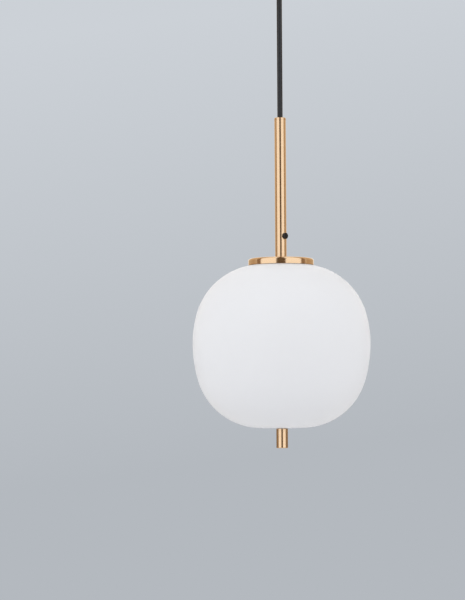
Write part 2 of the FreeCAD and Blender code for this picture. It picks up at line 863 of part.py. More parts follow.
def glass_bush():
    """Soft grommet in the glass's bottom hole, round the stud."""
    seat = equator_z - rise_at(LOWER_SIZES, bush_inner_flange_radius, glass_wall)
    bore = stud_radius + cord_gap
    return turned([(bore, seat + bush_inner_flange),
                   (bush_inner_flange_radius, seat + bush_inner_flange, bush_inner_flange / 3),
                   (bush_inner_flange_radius, seat), (glass_hole_radius, seat),
                   (glass_hole_radius, glass_foot_z), (bush_outer_flange_radius, glass_foot_z),
                   (bush_outer_flange_radius, bush_foot_z), (bore, bush_foot_z)])


def finial_washer():
    """Thin brass washer between the bush and the finial."""
    return ring(finial_washer_radius, stud_radius + running_gap, finial_washer_top_z,
                finial_washer_top_z - finial_washer_thickness)


def finial():
    """Turned brass finial, tapped from above, its rim round the washer and close to the glass."""
    bore = stud_radius + running_gap
    well = finial_radius - finial_rim_wall
    rim = glass_foot_z - touch_gap
    chamfer = finial_rim_wall / 2
    return turned([(well, rim), (finial_radius - chamfer, rim), (finial_radius, rim - chamfer),
                   (finial_radius, finial_foot_z + finial_edge),
                   (finial_radius - finial_edge, finial_foot_z), (0, finial_foot_z),
                   (0, finial_foot_z + finial_floor), (bore, finial_foot_z + finial_floor),
                   (bore, finial_seat_z), (well, finial_seat_z)])


# ---------------------------------------------------------------- lampholder
dome_top_z = nut_under_z
dome_foot_z = dome_top_z - holder_dome_height
skirt_foot_z = dome_foot_z - holder_skirt_height
skirt_bore_radius = holder_dome_radius - holder_skirt_wall
spigot_bore_radius = skirt_bore_radius - holder_wall
core_top_z = dome_foot_z - holder_skirt_overlap
core_foot_z = core_top_z - holder_core_height
shell_radius = bulb_cap_radius + loose_gap
earth_post_z = dome_foot_z + dome_earth_screw_rise


def dome_earth_hole():
    """Blind tapped hole in the dome's front wall, from inside."""
    return rod(V(0, 0, earth_post_z), V(0, -1, 0), dome_earth_screw_radius,
               spigot_bore_radius + dome_earth_screw_grip)


def lampholder_dome():
    """Zinc-plated dome, threaded on the nipple, with a spigot down into the skirt."""
    thread_end = dome_top_z - holder_thread_length
    dome = turned([(nipple_radius, dome_top_z), (holder_neck_radius, dome_top_z, holder_neck_edge),
                   (holder_neck_radius, dome_top_z - holder_neck_height, holder_neck_round),
                   (holder_dome_radius, thread_end, holder_dome_round),
                   (holder_dome_radius, dome_foot_z), (skirt_bore_radius, dome_foot_z),
                   (skirt_bore_radius, core_top_z), (spigot_bore_radius, core_top_z),
                   (spigot_bore_radius, thread_end - holder_wall, holder_dome_inner_round),
                   (nipple_radius, thread_end)])
    return dome.cut(dome_earth_hole())


def lampholder_skirt():
    """Moulded sleeve of the lampholder, with an inward lip at its mouth."""
    lip = skirt_foot_z + holder_skirt_wall
    return turned([(skirt_bore_radius, dome_foot_z), (holder_dome_radius, dome_foot_z, holder_skirt_top_edge),
                   (holder_dome_radius, skirt_foot_z, holder_skirt_foot_edge),
                   (holder_mouth_radius, skirt_foot_z, holder_lip_edge),
                   (holder_mouth_radius, lip, holder_lip_edge), (skirt_bore_radius, lip)])


def terminal_places(z):
    """Centres of the lampholder's two wire terminals at a height, right then left."""
    return [V(holder_terminal_x, 0, z), V(-holder_terminal_x, 0, z)]


def lampholder_core():
    """Ceramic puck that carries the shell and the contacts."""
    puck = ring(skirt_bore_radius, 0, core_top_z, core_foot_z)
    for place in terminal_places(core_foot_z):
        puck = puck.cut(rod(place, UP, holder_terminal_radius, holder_core_height))
    return puck


def screw_shell():
    """Rolled brass screw shell under the core."""
    foot = core_foot_z - shell_length
    outer = shell_radius + shell_wall + shell_groove
    outline = [(shell_radius, foot), (shell_radius, core_foot_z), (outer, core_foot_z)]
    for number in range(int(shell_length / thread_pitch_e14) - 1):
        groove = core_foot_z - (number + 1) * thread_pitch_e14
        outline.append((outer, groove + thread_pitch_e14 / 3, shell_crest_round))
        outline.append((shell_radius + shell_wall, groove, shell_root_round))
        outline.append((outer, groove - thread_pitch_e14 / 3, shell_crest_round))
    outline.append((outer, foot))
    return turned(outline)


def centre_contact():
    """Contact leaf under the core, which the bulb's contact meets."""
    half = contact_width / 2
    return block(V(-half, -half, core_foot_z - contact_thickness), V(half, half, core_foot_z))


def holder_terminals():
    """Terminal screws through the core, their heads on top."""
    screws = []
    for foot in terminal_places(core_foot_z):
        screws.append(slotted_screw(foot, UP, holder_terminal_radius, holder_core_height,
                                    holder_terminal_head_radius, holder_terminal_head,
                                    holder_terminal_slot))
    return screws


def dome_earth_screw():
    """Earth screw in the dome's front wall, its head inside."""
    tip = V(0, -spigot_bore_radius - dome_earth_screw_grip, earth_post_z)
    return slotted_screw(tip, V(0, 1, 0), dome_earth_screw_radius, dome_earth_screw_length,
                         dome_earth_head_radius, dome_earth_head, dome_earth_slot)


def lamp_cores():
    """Cores from the sheath's end to the two terminals and the dome's earth screw."""
    live, neutral, earth = core_starts(sheath_end_z)
    run_z = core_top_z + holder_terminal_head + core_radius
    cores = []
    for start, post in zip((live, neutral), terminal_places(run_z)):
        turn = V(start.x, start.y, run_z)
        cores.append(tube_along([(start, 0), (turn, core_bend), (post, 0)], core_radius))
    head_face = -spigot_bore_radius - dome_earth_screw_grip + dome_earth_screw_length + dome_earth_head
    turn = V(0, earth.y, earth_post_z)
    post = V(0, head_face, earth_post_z)
    cores.append(tube_along([(earth, 0), (turn, core_bend), (post, 0)], core_radius))
    return cores


# ---------------------------------------------------------------- bulb
bulb_top_z = core_foot_z - contact_thickness - touch_gap
bulb_cap_top_z = bulb_top_z - bulb_contact_height - bulb_insulator_height
bulb_cap_foot_z = bulb_cap_top_z - bulb_cap_length
bulb_tip_z = bulb_top_z - bulb_length
bulb_centre_z = bulb_tip_z + bulb_radius
bulb_collar_foot_z = bulb_centre_z + math.sqrt(bulb_radius ** 2 - bulb_collar_mouth_radius ** 2)


def bulb_contact():
    """Soldered centre contact of the bulb."""
    low = bulb_top_z - bulb_contact_height
    edge = bulb_contact_height / 2
    return turned([(0, bulb_top_z), (bulb_contact_radius, bulb_top_z, edge), (bulb_contact_radius, low),
                   (0, low)])


def bulb_insulator():
    """Black insulator between the contact and the cap."""
    top = bulb_top_z - bulb_contact_height - running_gap
    inner = bulb_cap_radius - bulb_thread_depth - bulb_cap_wall
    return turned([(0, top), (bulb_contact_radius + bulb_insulator_rim, top), (inner, bulb_cap_top_z),
                   (0, bulb_cap_top_z)])


def bulb_cap():
    """Rolled screw cap of the bulb."""
    valley = bulb_cap_radius - bulb_thread_depth
    inner = valley - bulb_cap_wall
    outline = [(inner, bulb_cap_foot_z), (inner, bulb_cap_top_z),
               (valley, bulb_cap_top_z, bulb_cap_top_round)]
    for number in range(bulb_thread_turns):
        crest = bulb_cap_top_z - (number + bulb_first_crest) * thread_pitch_e14
        root = crest - thread_pitch_e14 / 2
        outline.append((bulb_cap_radius, crest, bulb_thread_round))
        outline.append((valley, root, bulb_thread_round))
    outline.append((valley, bulb_cap_foot_z + bulb_cap_rim))
    outline.append((bulb_cap_radius, bulb_cap_foot_z))
    return turned(outline)


def bulb_collar():
    """Tapered heat-sink collar between cap and globe."""
    wall = bulb_collar_wall
    top = bulb_cap_foot_z
    neck = bulb_cap_radius + wall
    waist = neck + bulb_collar_neck_flare
    return turned([(bulb_cap_radius, top), (neck, top, bulb_collar_neck_edge),
                   (waist, top - bulb_collar_neck_height, bulb_collar_waist_round),
                   (bulb_collar_mouth_radius, bulb_collar_foot_z),
                   (bulb_collar_mouth_radius - wall, bulb_collar_foot_z),
                   (bulb_cap_radius, top - bulb_collar_neck_height - wall)])


def board_radius():
    """Radius of the LED board, between the collar's bore and the inside of the globe."""
    globe_bore = math.sqrt((bulb_radius - bulb_globe_wall) ** 2 - (bulb_collar_foot_z - bulb_centre_z) ** 2)
    return (bulb_collar_mouth_radius - bulb_collar_wall + globe_bore) / 2


def led_board():
    """Round aluminium board that closes the collar's mouth."""
    return ring(board_radius(), board_hole_radius, bulb_collar_foot_z, bulb_collar_foot_z - board_thickness)


def leds():
    """Light-emitting chips in a ring on the board."""
    low = bulb_collar_foot_z - board_thickness - led_height
    half = led_size / 2
    chips = []
    for number in range(led_count):
        centre = around(FULL_TURN * number / led_count, board_radius() * led_ring_share, low)
        chip = block(centre - V(half, half, 0), centre + V(half, half, led_height))
        chips.append(chip)
    return chips


def driver_board():
    """Small upright driver board inside the collar, with two parts on it."""
    half = board_thickness / 2
    foot = bulb_collar_foot_z
    board = block(V(-driver_width / 2, -half, foot), V(driver_width / 2, half, foot + driver_length))
    coil = rod(V(0, half, foot + driver_length / 3), V(0, 1, 0), driver_coil_radius, driver_coil_height)
    side = driver_chip_size / 2
    low = foot + driver_length / 2
    chip = block(V(-side, -half - driver_chip_height, low), V(side, -half, low + driver_chip_size))
    return board.fuse(coil).fuse(chip)


def bulb_globe():
    """Opal dome of the bulb, closed on the collar's mouth."""
    outer = Part.makeSphere(bulb_radius, V(0, 0, bulb_centre_z))
    inner = Part.makeSphere(bulb_radius - bulb_globe_wall, V(0, 0, bulb_centre_z))
    above = ring(2 * bulb_radius, 0, bulb_centre_z + 2 * bulb_radius, bulb_collar_foot_z)
    return outer.cut(inner).cut(above)


# ---------------------------------------------------------------- the assembly
def save(name, solids):
    """Write one sub-part, a solid or a list of separate solids."""
    whole = Part.makeCompound(solids) if isinstance(solids, list) else solids
    whole.exportStep("parts/" + name + ".step")


SUBPARTS = (ceiling_bracket, canopy, canopy_screws, earth_lug, earth_screw, terminal_block, terminal_clamps,
            terminal_screws, block_fixing_screw, gland_body, gland_washer, gland_nut, cord_stop,
            cord_stop_screws, cord_tail, cord_bend, cord_drop, stem_cap, stem_tube, cord_in_stem, grip_slug,
            grip_screw, cap_disc, nipple, shade_gasket, yoke, lock_washer, lock_nut, stud, stud_nuts,
            glass_shade, glass_bush, finial_washer, finial, lampholder_dome, lampholder_skirt,
            lampholder_core, screw_shell, centre_contact, holder_terminals, dome_earth_screw, bulb_contact,
            bulb_insulator, bulb_cap, bulb_collar, led_board, leds, driver_board, bulb_globe)
CORE_GROUPS = (("canopy", canopy_cores), ("lamp", lamp_cores))


def build():
    """Make every sub-part and write it under its own name."""
    os.makedirs("parts", exist_ok=True)
    for make in SUBPARTS:
        save(make.__name__, make())
    for place, make in CORE_GROUPS:
        for use, core in zip(("live", "neutral", "earth"), make()):
            save(place + "_" + use + "_core", core)


build()
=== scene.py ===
import json
import math

import bpy
from mathutils import Matrix, Vector


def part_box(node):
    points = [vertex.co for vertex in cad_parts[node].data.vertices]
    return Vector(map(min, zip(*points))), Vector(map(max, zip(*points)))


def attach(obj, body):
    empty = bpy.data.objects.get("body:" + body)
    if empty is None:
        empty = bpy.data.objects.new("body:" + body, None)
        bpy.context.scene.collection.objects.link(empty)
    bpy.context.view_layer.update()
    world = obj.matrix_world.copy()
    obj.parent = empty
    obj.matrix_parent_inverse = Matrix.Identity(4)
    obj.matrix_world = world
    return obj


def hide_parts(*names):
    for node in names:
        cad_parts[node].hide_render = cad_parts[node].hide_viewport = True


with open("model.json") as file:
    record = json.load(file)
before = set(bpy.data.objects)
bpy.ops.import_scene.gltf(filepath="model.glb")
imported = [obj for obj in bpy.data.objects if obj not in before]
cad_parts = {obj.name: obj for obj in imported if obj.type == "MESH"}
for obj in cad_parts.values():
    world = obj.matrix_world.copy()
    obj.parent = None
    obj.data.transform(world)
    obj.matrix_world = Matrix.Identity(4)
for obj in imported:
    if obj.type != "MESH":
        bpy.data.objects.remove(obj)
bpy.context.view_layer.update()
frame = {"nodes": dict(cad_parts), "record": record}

# Looks of the pendant ceiling light, in metres, in the frame of its CAD model: the origin is on
# the ceiling, the lamp hangs towards -Z and its front is -Y.
MM = 0.001
FULL_TURN = 2 * math.pi
MATH = "ShaderNodeMath"
MIX = "ShaderNodeMix"
RANGE = "ShaderNodeMapRange"
nodes = frame["nodes"]
collection = bpy.context.scene.collection


# ---------------------------------------------------------------- small helpers
def linear(code):
    """Linear RGBA from an sRGB hex value."""
    shares = [int(code[place:place + 2], 16) / 255 for place in (1, 3, 5)]
    return (*[share / 12.92 if share <= 0.04045 else ((share + 0.055) / 1.055) ** 2.4
              for share in shares], 1)


def add(tree, kind, inputs=(), **settings):
    """Adds a node with its settings, gives each input, by name or in order, a value or a link,
    and returns its outputs."""
    new = tree.nodes.new(kind)
    for name, value in settings.items():
        setattr(new, name, value)
    for name, value in inputs.items() if isinstance(inputs, dict) else enumerate(inputs):
        if isinstance(value, bpy.types.NodeSocket):
            tree.links.new(value, new.inputs[name])
        else:
            new.inputs[name].default_value = value
    return new.outputs


def object_place(tree, stretch=(1, 1, 1)):
    """Object coordinates, each axis multiplied."""
    place = add(tree, "ShaderNodeTexCoord")["Object"]
    return add(tree, "ShaderNodeMapping", {"Vector": place, "Scale": stretch})["Vector"]


def lathe_place(tree):
    """Object coordinates as (distance from the lamp's axis, 0, height), for a finish made on a
    lathe."""
    parts = add(tree, "ShaderNodeSeparateXYZ", (object_place(tree),))
    flat = add(tree, "ShaderNodeCombineXYZ", (parts["X"], parts["Y"]))[0]
    away = add(tree, "ShaderNodeVectorMath", (flat,), operation="LENGTH")["Value"]
    return add(tree, "ShaderNodeCombineXYZ", {0: away, 2: parts["Z"]})[0]


def surface(tree, tone, gloss, dark, light, smooth, rough):
    """Colour between two hex values by tone, and roughness between two values by gloss."""
    colour = add(tree, MIX, {"Factor": tone, "A": linear(dark), "B": linear(light)},
                 data_type="RGBA")[2]
    shine = add(tree, RANGE, {"Value": gloss, "To Min": smooth, "To Max": rough})["Result"]
    return {"Base Color": colour, "Roughness": shine}


def milky(share, depth):
    """Constants of a material that light goes into, about depth metres, alike in every colour."""
    return {"Subsurface Weight": share, "Subsurface Radius": (1.0, 1.0, 1.0),
            "Subsurface Scale": depth}


def material(name, constants, pattern):
    """Principled material with constant sockets and the linked ones that its pattern returns."""
    made = bpy.data.materials.new(name)
    made.use_nodes = True
    tree = made.node_tree
    tree.nodes.clear()
    shader = add(tree, "ShaderNodeBsdfPrincipled", {**constants, **pattern(tree)})[0]
    add(tree, "ShaderNodeOutputMaterial", {"Surface": shader})
    return made


# ---------------------------------------------------------------- patterns
def lathe_brushed(dark, light, line, depth, smooth, rough, patch):
    """Fine rings round the lamp's axis, with softer and sharper zones of size patch."""
    def pattern(tree):
        rings = add(tree, "ShaderNodeTexNoise", {
            "Vector": lathe_place(tree), "Scale": 1 / line, "Detail": 4.0})["Fac"]
        zones = add(tree, "ShaderNodeTexNoise", {
            "Vector": object_place(tree), "Scale": 1 / patch, "Detail": 2.0})["Fac"]
        return {**surface(tree, rings, zones, dark, light, smooth, rough),
                "Normal": add(tree, "ShaderNodeBump", {"Height": rings, "Distance": depth})[0],
                "Tangent": add(tree, "ShaderNodeTangent", direction_type="RADIAL", axis="Z")[0]}
    return pattern


def grained(dark, light, size, depth, smooth, rough, stretch=(1, 1, 1)):
    """Small lumps of size, which change colour, roughness and height a little."""
    def pattern(tree):
        lumps = add(tree, "ShaderNodeTexNoise", {
            "Vector": object_place(tree, stretch), "Scale": 1 / size, "Detail": 3.0})["Fac"]
        return {**surface(tree, lumps, lumps, dark, light, smooth, rough),
                "Normal": add(tree, "ShaderNodeBump", {"Height": lumps, "Distance": depth})[0]}
    return pattern


def spangled(dark, light, size, smooth, rough):
    """Flat crystals of size, as zinc makes on steel, each with its own tone and gloss."""
    def pattern(tree):
        cells = add(tree, "ShaderNodeTexVoronoi", {
            "Vector": object_place(tree), "Scale": 1 / size})["Color"]
        tone = add(tree, "ShaderNodeSeparateColor", (cells,))[0]
        return surface(tree, tone, tone, dark, light, smooth, rough)
    return pattern


def striped(dark, light, pitch, patch, smooth, rough):
    """Two-colour bands of pitch, as on an earth core, with their gloss in patches."""
    def pattern(tree):
        bands = add(tree, "ShaderNodeTexWave", {
            "Vector": object_place(tree), "Scale": 0.5 / pitch, "Distortion": 0.5},
            bands_direction="DIAGONAL")["Fac"]
        side = add(tree, MATH, (bands, 0.5), operation="GREATER_THAN")[0]
        patches = add(tree, "ShaderNodeTexNoise", {
            "Vector": object_place(tree), "Scale": 1 / patch, "Detail": 2.0})["Fac"]
        return surface(tree, side, patches, dark, light, smooth, rough)
    return pattern


# ---------------------------------------------------------------- materials, one for each slot
# In each pattern: its darkest and lightest colour, the size of its marks, their height where it
# has one, then its lowest and highest roughness.
finishes = {
    # brass brushed on a lathe and lacquered: warm, with sharp upright bands of light. Real brush
    # lines are 0.05 to 0.1 mm and are drawn coarser so that they show
    "brushed_brass": material(
        "brushed_lacquered_brass",
        {"Metallic": 1.0, "Anisotropic": 0.85, "Anisotropic Rotation": 0.25, "Coat Weight": 0.2,
         "Coat Roughness": 0.1},
        lathe_brushed("#dcba94", "#edd0ae", 0.7 * MM, 0.0008 * MM, 0.16, 0.20, 20 * MM)),
    # brass as it leaves the lathe, without lacquer: yellower, with plain turning rings
    "plain_brass": material(
        "turned_brass", {"Metallic": 1.0, "Anisotropic": 0.4, "Anisotropic Rotation": 0.25},
        lathe_brushed("#b98f52", "#d9b478", 0.3 * MM, 0.01 * MM, 0.26, 0.36, 4 * MM)),
    # zinc-plated steel: cool grey crystals, half glossy
    "zinc_steel": material(
        "zinc_plated_steel", {"Metallic": 1.0},
        spangled("#a3a8ad", "#c6cacd", 1.6 * MM, 0.28, 0.42)),
    # opal glass, blown and etched on the outside: white through its depth, soft and matt, with a
    # faint unevenness from the blowing
    "opal_glass": material(
        "etched_opal_glass", {**milky(0.65, 6 * MM), "IOR": 1.5},
        grained("#f8f8fa", "#fbfbfd", 30 * MM, 0.05 * MM, 0.48, 0.56)),
    # soft PVC sheath, extruded: near black with a low sheen and faint drag lines along it
    "black_sheath": material(
        "black_pvc_sheath", {"Specular IOR Level": 0.55},
        grained("#101218", "#191c23", 0.6 * MM, 0.01 * MM, 0.36, 0.48, (1, 1, 0.05))),
    # thin extruded PVC on each core: plain strong colour, slightly waxy
    "brown_core": material(
        "brown_pvc", {}, grained("#4b2a17", "#5a331d", 1 * MM, 0.01 * MM, 0.38, 0.5)),
    "blue_core": material(
        "blue_pvc", {}, grained("#1f4f9c", "#2a5fb4", 1 * MM, 0.01 * MM, 0.38, 0.5)),
    # the earth core's PVC has two colours side by side, which show as bands
    "earth_core": material(
        "green_yellow_pvc", {}, striped("#2f8a3a", "#e3cf2c", 3 * MM, 2 * MM, 0.38, 0.5)),
    # moulded nylon: fine satin grain, milky where it is undyed
    "white_nylon": material(
        "natural_nylon", milky(0.1, 1 * MM),
        grained("#dedcd2", "#e8e6dd", 0.5 * MM, 0.01 * MM, 0.42, 0.55)),
    "black_nylon": material(
        "black_nylon", {}, grained("#0e0e0f", "#1a1a1c", 0.5 * MM, 0.012 * MM, 0.35, 0.5)),
    # thermoset moulding: harder and glossier than nylon
    "black_resin": material(
        "black_thermoset", {},
        grained("#101011", "#18181a", 1.2 * MM, 0.008 * MM, 0.25, 0.38)),
    # fired steatite: dry, cream, with small specks
    "ceramic": material(
        "steatite", {}, grained("#cfc9bb", "#e6e1d4", 0.8 * MM, 0.03 * MM, 0.65, 0.8)),
    # moulded silicone rubber: cloudy pale grey with a dry, dull face
    "silicone": material(
        "silicone_rubber", milky(0.3, 2 * MM),
        grained("#c9cbcb", "#d6d8d8", 1.5 * MM, 0.01 * MM, 0.5, 0.62)),
    # nickel plated on brass: warm grey and bright, with a slight ripple
    "nickel": material(
        "nickel_plated_brass", {"Metallic": 1.0},
        grained("#b9b5ab", "#cdc9bf", 2.5 * MM, 0.006 * MM, 0.2, 0.32)),
    # moulded PBT: clean cool white, half glossy
    "white_plastic": material(
        "white_pbt", milky(0.1, 1 * MM),
        grained("#e6e7e8", "#eeeff0", 0.8 * MM, 0.008 * MM, 0.3, 0.42)),
    # blown opal polycarbonate: smooth milky white that hides what is inside
    "opal_plastic": material(
        "opal_polycarbonate", milky(0.3, 4 * MM),
        grained("#ececea", "#f3f3f1", 6 * MM, 0.01 * MM, 0.34, 0.42)),
    # printed and cured solder mask: thin, even and fairly glossy
    "board_white": material(
        "white_solder_mask", {}, grained("#dfe0e0", "#ebecec", 1 * MM, 0.01 * MM, 0.3, 0.45)),
    "board_green": material(
        "green_solder_mask", {}, grained("#14532b", "#1d6b39", 1 * MM, 0.02 * MM, 0.25, 0.4)),
    # phosphor in poured silicone: dull egg yellow with fine grit
    "led_yellow": material(
        "yellow_phosphor", {}, grained("#dcc24a", "#ecd566", 0.5 * MM, 0.02 * MM, 0.5, 0.65)),
}
slot_of = {part["node"]: part["material_slot"] for part in frame["record"]["subparts"]}
for name, slot in slot_of.items():
    nodes[name].data.materials.clear()
    nodes[name].data.materials.append(finishes[slot])

# ---------------------------------------------------------------- pieces grown by geometry nodes
merge_reach = 0.001 * MM
sharp_edge = math.radians(50)
crest_flat = 0.125          # of the pitch, as on a metric thread
root_flat = 0.25


def new_tree(name, *sizes):
    """Geometry tree with its named sizes, counts and material."""
    tree = bpy.data.node_groups.new(name, "GeometryNodeTree")
    for label in ("Columns", "Rows"):
        tree.interface.new_socket(label, in_out="INPUT", socket_type="NodeSocketInt")
    for label in sizes:
        tree.interface.new_socket(label, in_out="INPUT", socket_type="NodeSocketFloat")
    tree.interface.new_socket("Material", in_out="INPUT", socket_type="NodeSocketMaterial")
    tree.interface.new_socket("Geometry", in_out="OUTPUT", socket_type="NodeSocketGeometry")
    return tree, add(tree, "NodeGroupInput")


def unrolled_sheet(tree, sizes):
    """Grid to be rolled into a round piece, with its share of the turn and the number of its
    row."""
    steps = add(tree, MATH, (sizes["Rows"], 1.0), operation="SUBTRACT")[0]
    sheet = add(tree, "GeometryNodeMeshGrid", {
        "Size X": 1.0, "Size Y": steps, "Vertices X": sizes["Columns"],
        "Vertices Y": sizes["Rows"]})["Mesh"]
    parts = add(tree, "ShaderNodeSeparateXYZ", (add(tree, "GeometryNodeInputPosition")[0],))
    turn_share = add(tree, MATH, (0.5, parts["X"]), operation="SUBTRACT")[0]
    half_length = add(tree, MATH, (steps, 0.5), operation="MULTIPLY")[0]
    row = add(tree, MATH, (parts["Y"], half_length), operation="ADD")[0]
    return sheet, turn_share, add(tree, MATH, (row,), operation="ROUND")[0]


def rolled_up(tree, sheet, turn_share, radius, height, finish):
    """Closes the grid round the axis, at a radius and height for each point, and ends the tree."""
    angle = add(tree, MATH, (turn_share, FULL_TURN), operation="MULTIPLY")[0]
    cosine = add(tree, MATH, (angle,), operation="COSINE")[0]
    sine = add(tree, MATH, (angle,), operation="SINE")[0]
    x = add(tree, MATH, (radius, cosine), operation="MULTIPLY")[0]
    y = add(tree, MATH, (radius, sine), operation="MULTIPLY")[0]
    place = add(tree, "ShaderNodeCombineXYZ", (x, y, height))[0]
    shape = add(tree, "GeometryNodeSetPosition", {"Geometry": sheet, "Position": place})[0]
    shape = add(tree, "GeometryNodeMergeByDistance", {
        "Geometry": shape, "Distance": merge_reach})[0]
    shape = add(tree, "GeometryNodeRealizeInstances", {"Geometry": shape})[0]
    shape = add(tree, "GeometryNodeSetMaterial", {"Geometry": shape, "Material": finish})[0]
    add(tree, "NodeGroupOutput", {"Geometry": shape})
    return tree


def thread_tree():
    """Rod or tube with a right-hand thread outside, chamfered at both ends."""
    tree, sizes = new_tree("rolled_thread", "Crest Radius", "Depth", "Pitch", "Roundness",
                           "Bore Radius", "Top", "Length", "Thread Rows")
    sheet, turn_share, row = unrolled_sheet(tree, sizes)
    # row 0 and the row after the thread are on the bore; a tube has one more, back at the start
    last_step = add(tree, MATH, (sizes["Thread Rows"], 1.0), operation="SUBTRACT")[0]
    step = add(tree, MATH, (row, 1.0), operation="SUBTRACT")[0]
    down = add(tree, MATH, (step, last_step), operation="DIVIDE")[0]
    closing_row = add(tree, MATH, (sizes["Thread Rows"], 1.5), operation="ADD")[0]
    closing = add(tree, MATH, (row, closing_row), operation="GREATER_THAN")[0]
    on_length = add(tree, "ShaderNodeClamp", {"Value": down})[0]
    share = add(tree, MIX, {"Factor": closing, "A": on_length, "B": 0.0})[0]
    drop = add(tree, MATH, (sizes["Length"], share), operation="MULTIPLY")[0]
    height = add(tree, MATH, (sizes["Top"], drop), operation="SUBTRACT")[0]
    # how deep the groove is at each point: with flats, or as a round wave
    full_turns = add(tree, MATH, (drop, sizes["Pitch"]), operation="DIVIDE")[0]
    turns = add(tree, MATH, (full_turns, turn_share), operation="ADD")[0]
    turned = add(tree, MATH, (turns, FULL_TURN), operation="MULTIPLY")[0]
    wave = add(tree, MATH, (turned,), operation="COSINE")[0]
    round_hollow = add(tree, MATH, (wave, -0.5, 0.5), operation="MULTIPLY_ADD")[0]
    off_crest = add(tree, MATH, (turns, 0.5), operation="PINGPONG")[0]
    flat_hollow = add(tree, RANGE, {
        "Value": off_crest, "From Min": crest_flat / 2,
        "From Max": 0.5 - root_flat / 2})["Result"]
    hollow = add(tree, MIX, {
        "Factor": sizes["Roundness"], "A": flat_hollow, "B": round_hollow})[0]
    cut = add(tree, MATH, (hollow, sizes["Depth"]), operation="MULTIPLY")[0]
    grooved = add(tree, MATH, (sizes["Crest Radius"], cut), operation="SUBTRACT")[0]
    # each end is cut back to the groove's depth at 45 degrees
    from_foot = add(tree, MATH, (sizes["Length"], drop), operation="SUBTRACT")[0]
    from_end = add(tree, MATH, (drop, from_foot), operation="MINIMUM")[0]
    root = add(tree, MATH, (sizes["Crest Radius"], sizes["Depth"]), operation="SUBTRACT")[0]
    chamfer = add(tree, MATH, (root, from_end), operation="ADD")[0]
    outside = add(tree, MATH, (grooved, chamfer), operation="MINIMUM")[0]
    off_middle = add(tree, MATH, (down, 0.5), operation="SUBTRACT")[0]
    from_middle = add(tree, MATH, (off_middle,), operation="ABSOLUTE")[0]
    half_row = add(tree, MATH, (0.5, last_step), operation="DIVIDE")[0]
    thread_end = add(tree, MATH, (0.5, half_row), operation="ADD")[0]
    on_bore = add(tree, MATH, (from_middle, thread_end), operation="GREATER_THAN")[0]
    radius = add(tree, MIX, {"Factor": on_bore, "A": outside, "B": sizes["Bore Radius"]})[0]
    return rolled_up(tree, sheet, turn_share, radius, height, sizes["Material"])


